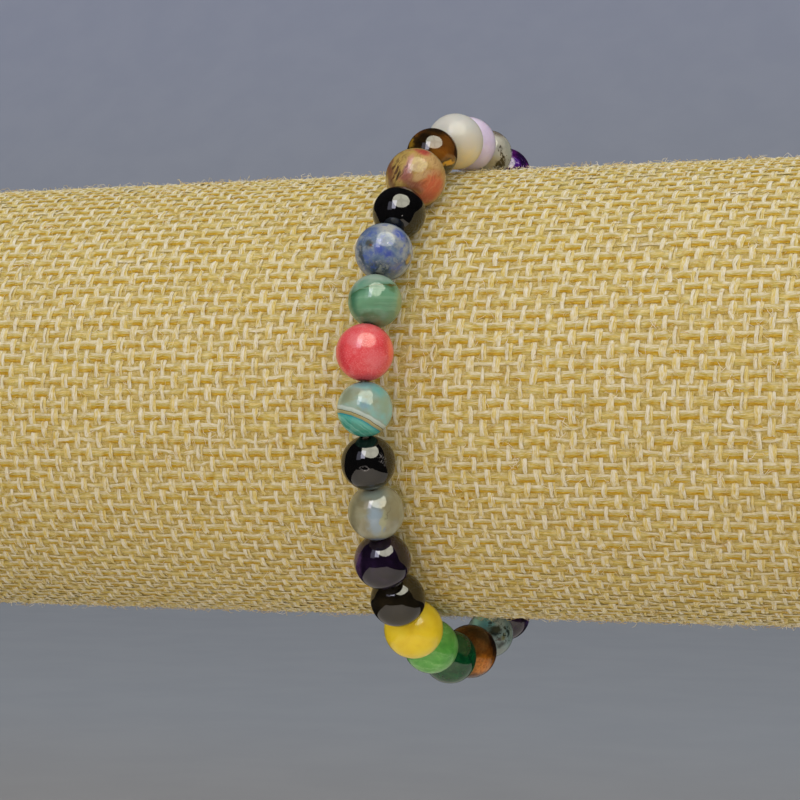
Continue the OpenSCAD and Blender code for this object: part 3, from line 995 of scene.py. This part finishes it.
def grey_agate(s):
    colour = s.clouds(1.4, (0.3, "#817f65"), (0.5, "#919076"), (0.7, "#9aa08c"))
    colour = s.patches(colour, [
        (0.00, -0.30, 0.27, 0.66, 0, 0.45, 0.85, "#8a9fae"),
        (-0.04, -0.10, 0.16, 0.34, 0, 0.6, 0.6, "#96abba"),
        (0.26, -0.34, 0.08, 0.44, -6, 0.5, 0.8, "#a0a47e"),
        (0.32, -0.55, 0.06, 0.16, 0, 0.6, 0.5, "#7e92a4"),
        (-0.04, 0.66, 0.40, 0.22, 0, 0.7, 0.7, "#88a09e"),
        # The warmer khaki-grey down both rims is partly the stone's own colour and partly painted light: the
        # burlap's yellow seen through the stone's edges.
        (0.62, 0.05, 0.24, 0.46, 0, 0.7, 0.7, "#888466"),
        (-0.84, 0.10, 0.14, 0.50, 0, 0.7, 0.7, "#77765a"),
        (0.42, 0.00, 0.015, 0.22, -24, 0.5, 0.4, "#55553f"),
        (0.08, -0.95, 0.34, 0.10, 0, 0.6, 0.9, "#52617e"),
    ])
    return s.glassy(colour, 0.05, 0.4)


def dark_amethyst(s):
    colour = s.clouds(2.0, (0.35, "#0c0712"), (0.55, "#170d22"), (0.72, "#2a1b3c"))
    return s.glassy(s.patches(colour, [(-0.88, 0.1, 0.13, 0.6, 0, 0.7, 0.8, "#4c365c")]), 0.04)


def smoky_quartz(s):
    colour = s.clouds(1.8, (0.35, "#0f0d07"), (0.6, "#1e1a10"), (0.75, "#322b1c"))
    return s.glassy(s.patches(colour, [(0.2, -0.7, 0.5, 0.25, 10, 0.7, 0.6, "#2b2618")]), 0.045)


def yellow_jade(s):
    return s.waxy(s.clouds(1.6, (0.3, "#e2c61e"), (0.5, "#ead226"), (0.7, "#eeda38")), 0.8)


def green_jade(s):
    grain = s.streaks(80, (0.10, 1.2, 0.6))
    colour = s.clouds(1.9, (0.3, "#46983a"), (0.5, "#5cac4a"), (0.7, "#74ba62"))
    return s.waxy(s.mix(s.stretch(grain, 0.5, 0.7, 0, 0.4), colour, "#90cc80"))


def dark_green_jade(s):
    colour = s.clouds(1.9, (0.3, "#04361c"), (0.5, "#064a28"), (0.7, "#0c5c32"))
    return s.glassy(s.mix(s.stretch(s.noise(9.0, 4.0), 0.5, 0.66, 0, 0.3), colour, "#2c6a38"), 0.045, 0.1)


stones = {make.__name__: make for make in (
    amethyst, dendritic_agate, lilac_jade, white_jade, tiger_eye, jasper, onyx, sodalite, green_agate,
    red_jade, teal_agate, grey_agate, dark_amethyst, smoky_quartz, yellow_jade, green_jade, dark_green_jade)}
# Beads that look unlike the others of their kind.
unlike = {"bead_12_onyx": pitted_onyx, "bead_19_tiger_eye": dark_tiger_eye,
          "bead_20_dendritic_agate": teal_dendritic_agate, "bead_21_amethyst": dusky_amethyst}

# Tumbled stones keep soft flats: for each, where it faces, its depth in radii, and how crisp its edge is.
tumbled = {
    "bead_09_green_agate": [((0.40, 0.18, 0.90), 0.030, 90), ((-0.5, 0.2, 0.8), 0.02, 60)],
    "bead_11_teal_agate": [((0.04, 0.14, 0.99), 0.014, 110), ((0.48, 0.40, 0.78), 0.030, 80),
                           ((-0.6, -0.5, 0.6), 0.03, 60)],
    "bead_13_grey_agate": [((0.05, 0.22, 0.97), 0.014, 110), ((-0.6, -0.4, 0.7), 0.04, 50),
                           ((0.7, -0.5, 0.5), 0.04, 50)],
}
# How a bead's pattern is turned from the first of its kind, in degrees, about right, up and near.
turned = {
    "bead_22_white_jade": (0, 150, 40),
    "bead_23_sodalite": (20, 170, 0),
    "bead_24_onyx": (0, 90, 0),
    "bead_25_yellow_jade": (90, 0, 40),
    "bead_26_red_jade": (10, 200, 30),
    "bead_27_green_agate": (0, 180, 20),
    "bead_28_jasper": (20, 160, 0),
    "bead_29_grey_agate": (0, 200, 10),
    "bead_30_lilac_jade": (0, 90, 90),
    "bead_31_onyx": (90, 0, 0),
}

bends = bore_ends()
for k, node in enumerate(bead_nodes):
    label = node.removeprefix("bead_")
    kind = label.partition("_")[2]
    stone = Stone(label, centres[k], radii[k], turned.get(node, (0, 0, 0)))
    points, faces = drilled(centres[k], radii[k], bends[k - 1], bends[k], tumbled.get(node, ()))
    piece = surface("stone_" + label, points, faces, unlike.get(node, stones[kind])(stone))
    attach(piece, "root")
    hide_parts(node)


bpy.context.view_layer.update()
